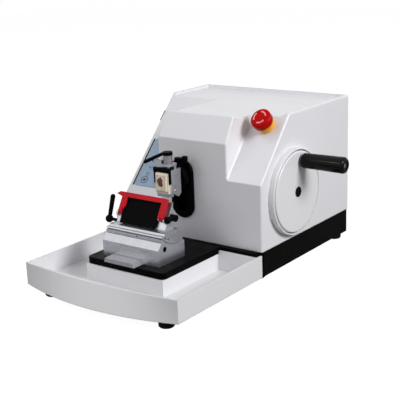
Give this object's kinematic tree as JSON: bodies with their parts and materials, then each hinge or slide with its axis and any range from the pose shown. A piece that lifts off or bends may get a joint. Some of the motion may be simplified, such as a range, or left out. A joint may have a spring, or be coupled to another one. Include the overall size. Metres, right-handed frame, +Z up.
{
  "type": "rotary microtome",
  "caption": "Motorised rotary microtome with handwheel, cassette clamp on a vertical arm, tilting blade holder with guard, waste tray, control panel and emergency stop.",
  "frame": {"origin": "centre of the bounding box at the level of the feet", "axes": "+X towards the handwheel side, +Y from the waste tray towards the rear of the housing, +Z up"},
  "size_m": [0.4684, 0.618, 0.3135],
  "materials": {
    "housing_white": "satin",
    "wheel_white": "satin",
    "tray_white": "satin",
    "base_black": "fine texture",
    "black_metal": "satin",
    "black_plastic": "satin",
    "grip_black": "gloss",
    "rubber": "matte",
    "satin_aluminium": "satin",
    "steel": "brushed",
    "bright_steel": "polished",
    "blade_steel": "polished",
    "zinc_sheet": "satin",
    "cast_frame": "painted",
    "panel_blue": "satin",
    "guard_red": "gloss",
    "estop_red": "gloss",
    "estop_yellow": "gloss",
    "cassette_ivory": "matte",
    "wax": "waxy",
    "circuit_green": "satin",
    "belt_rubber": "matte"
  },
  "bodies": {
    "base": {"base_casting": "base_black", "bottom_plate": "zinc_sheet", "base_feet": "rubber", "housing_cover": "housing_white", "rear_panel": "satin_aluminium", "mains_inlet": "black_plastic", "machine_screws": "steel", "control_panel": "panel_blue", "rocker_bezel": "black_plastic", "estop_collar": "estop_yellow", "contact_block": "black_plastic", "slot_bezel": "black_plastic", "wheel_ring": "housing_white", "mechanism_frame": "cast_frame", "guide_rails": "bright_steel", "drive_bracket": "cast_frame", "shaft_bearings": "steel", "drive_motor": "black_metal", "drive_belt": "belt_rubber", "power_supply": "zinc_sheet", "control_board": "circuit_green", "knife_plate": "black_metal", "holder_rail": "steel"},
    "power_switch": {"power_rocker": "black_plastic"},
    "estop_plunger": {"estop_stem": "black_plastic"},
    "estop_button": {"estop_head": "estop_red"},
    "drive": {"main_shaft": "steel", "crank_disc": "steel", "crank_roller": "bright_steel", "handwheel": "wheel_white", "hub_cap": "black_plastic", "grip_axle": "steel"},
    "wheel_grip": {"grip": "grip_black"},
    "motor_rotor": {"motor_pulley": "satin_aluminium"},
    "vertical_slide": {"carriage": "satin_aluminium", "slot_shutter": "black_plastic", "feed_motor": "black_metal"},
    "feed_spindle": {"feed_screw": "bright_steel"},
    "specimen_arm": {"arm": "bright_steel", "head_socket": "black_metal"},
    "yaw_block": {"gimbal_block": "steel"},
    "specimen_clamp": {"clamp_body": "satin_aluminium", "cassette": "cassette_ivory", "wax_block": "wax"},
    "upper_jaw": {"clamp_jaw": "black_metal"},
    "clamp_handle": {"clamp_screw": "steel", "clamp_lever": "black_metal"},
    "orientation_lock": {"lock_lever": "black_plastic"},
    "knife_base": {"holder_base": "satin_aluminium"},
    "base_clamp": {"holder_bolt": "black_metal"},
    "tilt_block": {"tilt_segment": "satin_aluminium"},
    "lateral_block": {"lateral_slide": "satin_aluminium", "blade": "blade_steel"},
    "blade_clamp": {"pressure_plate": "black_metal"},
    "guard": {"knife_guard": "guard_red"},
    "blade_lever": {"left_lever": "black_plastic"},
    "lateral_lever": {"right_lever": "black_plastic"},
    "tray": {"waste_tray": "tray_white", "tray_feet": "rubber"}
  },
  "joints": [
    {"name": "power_rocker_tilt", "type": "hinge", "parent": "base", "child": "power_switch", "pos_m": [-0.22875, 0.14598, 0.2536], "axis": [0, -0.7254, 0.6884], "range_deg": [-12, 0]},
    {"name": "estop_press", "type": "slide", "parent": "base", "child": "estop_plunger", "axis": [0, -0.7524, 0.6587], "range_m": [-0.0035, 0], "stiffness_N_per_m": 2000},
    {"name": "estop_twist", "type": "hinge", "parent": "estop_plunger", "child": "estop_button", "pos_m": [0.08725, 0.053, 0.27998], "axis": [0, -0.7524, 0.6587], "range_deg": [0, 30], "stiffness_Nm_per_rad": 0.05},
    {"name": "handwheel_turn", "type": "hinge", "parent": "base", "child": "drive", "pos_m": [0.12425, 0.0795, 0.154], "axis": [1, 0, 0], "continuous": true},
    {"name": "grip_spin", "type": "hinge", "parent": "drive", "child": "wheel_grip", "pos_m": [0.18425, 0.09361, 0.21232], "axis": [1, 0, 0], "continuous": true},
    {"name": "motor_turn", "type": "hinge", "parent": "base", "child": "motor_rotor", "pos_m": [0.05825, 0.195, 0.122], "axis": [1, 0, 0], "continuous": true},
    {"name": "specimen_stroke", "type": "slide", "parent": "base", "child": "vertical_slide", "axis": [0, 0, 1], "range_m": [-0.051, 0.0007]},
    {"name": "specimen_feed", "type": "slide", "parent": "vertical_slide", "child": "specimen_arm", "axis": [0, -1, 0], "range_m": [0, 0.024]},
    {"name": "feed_screw_turn", "type": "hinge", "parent": "vertical_slide", "child": "feed_spindle", "pos_m": [-0.05325, 0.073, 0.18677], "axis": [0, 1, 0], "range_deg": [0, 1800]},
    {"name": "head_yaw", "type": "hinge", "parent": "specimen_arm", "child": "yaw_block", "pos_m": [-0.05325, -0.058, 0.18677], "axis": [0, 0, 1], "range_deg": [-8, 8]},
    {"name": "head_pitch", "type": "hinge", "parent": "yaw_block", "child": "specimen_clamp", "pos_m": [-0.05325, -0.058, 0.18677], "axis": [1, 0, 0], "range_deg": [-8, 8]},
    {"name": "jaw_slide", "type": "slide", "parent": "specimen_clamp", "child": "upper_jaw", "axis": [0, 0, 1], "range_m": [0, 0.003]},
    {"name": "clamp_handle_turn", "type": "hinge", "parent": "specimen_clamp", "child": "clamp_handle", "pos_m": [-0.04375, -0.081, 0.232], "axis": [0, 0, 1], "range_deg": [0, 121]},
    {"name": "orientation_lock_turn", "type": "hinge", "parent": "specimen_arm", "child": "orientation_lock", "pos_m": [-0.04775, -0.047, 0.222], "axis": [0, 0, 1], "range_deg": [-30, 15]},
    {"name": "knife_base_slide", "type": "slide", "parent": "base", "child": "knife_base", "axis": [0, 1, 0], "range_m": [-0.024, 0]},
    {"name": "base_clamp_turn", "type": "hinge", "parent": "knife_base", "child": "base_clamp", "pos_m": [0.01225, -0.1695, 0.091], "axis": [1, 0, 0], "range_deg": [0, 90]},
    {"name": "clearance_tilt", "type": "hinge", "parent": "knife_base", "child": "tilt_block", "pos_m": [-0.05325, -0.1275, 0.16], "axis": [1, 0, 0], "range_deg": [-5, 5]},
    {"name": "lateral_shift", "type": "slide", "parent": "tilt_block", "child": "lateral_block", "axis": [1, 0, 0], "range_m": [-0.015, 0.015]},
    {"name": "blade_clamp_rock", "type": "hinge", "parent": "lateral_block", "child": "blade_clamp", "pos_m": [-0.05325, -0.14757, 0.13569], "axis": [1, 0, 0], "range_deg": [0, 3]},
    {"name": "guard_flip", "type": "hinge", "parent": "lateral_block", "child": "guard", "pos_m": [-0.05325, -0.14757, 0.13569], "axis": [1, 0, 0], "range_deg": [0, 120]},
    {"name": "blade_lever_turn", "type": "hinge", "parent": "lateral_block", "child": "blade_lever", "pos_m": [-0.13775, -0.1466, 0.1196], "axis": [1, 0, 0], "range_deg": [0, 90]},
    {"name": "lateral_lever_turn", "type": "hinge", "parent": "lateral_block", "child": "lateral_lever", "pos_m": [0.00795, -0.133, 0.139], "axis": [1, 0, 0], "range_deg": [-70, 0]},
    {"name": "tray_slide", "type": "slide", "parent": "base", "child": "tray", "axis": [0, -1, 0], "range_m": [0, 0.2]}
  ],
  "couplings": [
    {"joint": "motor_turn", "follows": "handwheel_turn", "ratio": 2.7886},
    {"joint": "feed_screw_turn", "follows": "specimen_feed", "rad_per_m": 1256.6},
    {"joint": "clamp_handle_turn", "follows": "jaw_slide", "rad_per_m": 698.13},
    {"joint": "blade_clamp_rock", "follows": "blade_lever_turn", "ratio": 0.033333}
  ]
}
